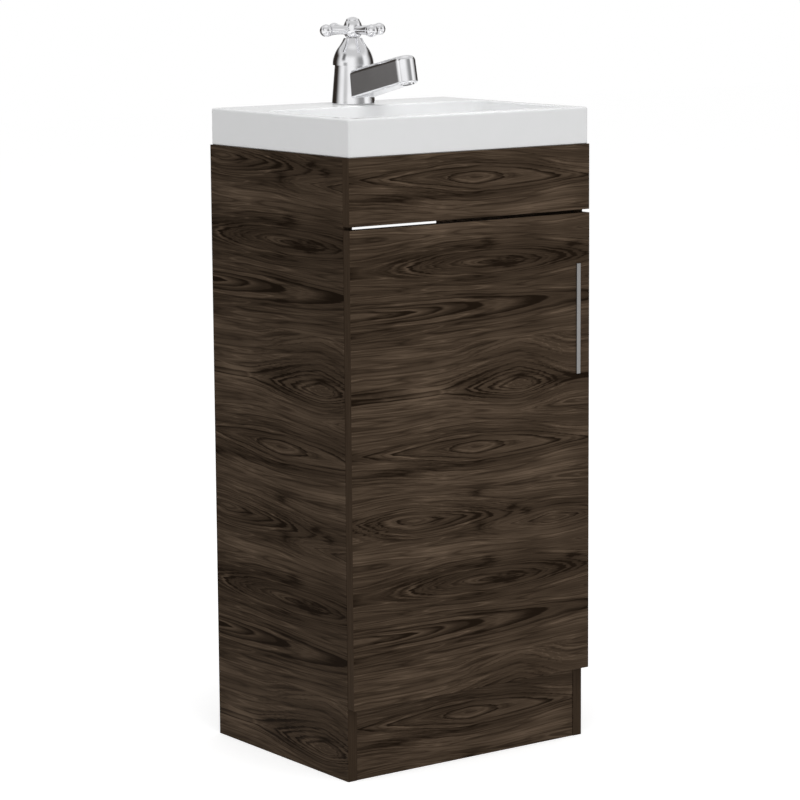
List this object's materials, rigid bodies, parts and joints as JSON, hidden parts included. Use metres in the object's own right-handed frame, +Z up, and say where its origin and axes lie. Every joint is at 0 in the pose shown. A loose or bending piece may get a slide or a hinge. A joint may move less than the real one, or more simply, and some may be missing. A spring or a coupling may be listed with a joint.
{
  "type": "vanity unit",
  "caption": "Slim floor-standing vanity unit: walnut-look cabinet with a hinged door and loose shelf, a white inset basin and a cross-handle pillar tap.",
  "frame": {"origin": "centre of the unit's footprint, on the floor", "axes": "+Z up, the door faces -Y, the wall is at +Y, and +X is to the right of someone who faces the door"},
  "size_m": [0.4, 0.3326, 1],
  "materials": {
    "walnut_laminate": "dark walnut laminate with long horizontal grain, satin",
    "beech": "plain turned beech",
    "zinc_fasteners": "zinc plated steel",
    "zinc_bracket": "pressed zinc plated steel",
    "nickel_hinge": "nickel plated pressed steel",
    "satin_strip": "satin brushed aluminium",
    "white_glaze": "gloss white glaze",
    "chrome": "polished chrome",
    "black_rubber": "matte black rubber",
    "white_rubber": "matte white rubber",
    "brass": "machined brass",
    "white_ceramic": "lapped technical ceramic"
  },
  "bodies": {
    "cabinet": {"left_side_panel": "walnut_laminate", "right_side_panel": "walnut_laminate", "bottom_panel": "walnut_laminate", "toe_kick_board": "walnut_laminate", "front_fascia": "walnut_laminate", "upper_back_rail": "walnut_laminate", "lower_back_rail": "walnut_laminate", "shelf": "walnut_laminate", "wood_dowels": "beech", "cam_bolts": "zinc_fasteners", "cam_locks": "zinc_fasteners", "bracket_screws": "zinc_fasteners", "mounting_plate_screws": "zinc_fasteners", "hinge_arm_pins": "zinc_fasteners", "shelf_pins": "zinc_fasteners", "left_fascia_bracket": "zinc_bracket", "right_fascia_bracket": "zinc_bracket", "lower_hinge_arm": "nickel_hinge", "lower_mounting_plate": "nickel_hinge", "upper_hinge_arm": "nickel_hinge", "upper_mounting_plate": "nickel_hinge", "basin": "white_glaze", "basin_waste": "chrome", "tap_body": "chrome", "bell_bonnet": "chrome", "spout_aerator": "chrome", "waste_washer": "black_rubber", "valve_seal": "black_rubber", "deck_gasket": "white_rubber", "waste_backnut": "brass", "shank_backnut": "brass", "tap_shank": "brass", "valve_cartridge": "brass", "shank_washer": "brass", "fixed_valve_disc": "white_ceramic"},
    "hinge_links": {"lower_hinge_link": "nickel_hinge", "upper_hinge_link": "nickel_hinge"},
    "door": {"door_panel": "walnut_laminate", "door_pull_strip": "satin_strip", "pull_strip_screws": "zinc_fasteners", "lower_hinge_cup": "nickel_hinge", "upper_hinge_cup": "nickel_hinge", "hinge_cup_pins": "zinc_fasteners", "hinge_cup_screws": "zinc_fasteners"},
    "tap_handle": {"cross_handle": "chrome", "handle_screw": "zinc_fasteners", "handle_cap": "chrome", "valve_spindle": "brass", "moving_valve_disc": "white_ceramic"}
  },
  "joints": [
    {"name": "hinge_link_swing", "type": "hinge", "parent": "cabinet", "child": "hinge_links", "pos_m": [-0.172, -0.14425, 0.41825], "axis": [0, 0, -1], "range_deg": [-40, 0]},
    {"name": "door_swing", "type": "hinge", "parent": "hinge_links", "child": "door", "pos_m": [-0.192, -0.15375, 0.41825], "axis": [0, 0, -1], "range_deg": [0, 140]},
    {"name": "tap_handle_turn", "type": "hinge", "parent": "cabinet", "child": "tap_handle", "pos_m": [0, 0.10825, 0.95], "axis": [0, 0, 1], "range_deg": [0, 90]}
  ],
  "couplings": [
    {"joint": "hinge_link_swing", "follows": "door_swing", "ratio": -0.28571}
  ]
}
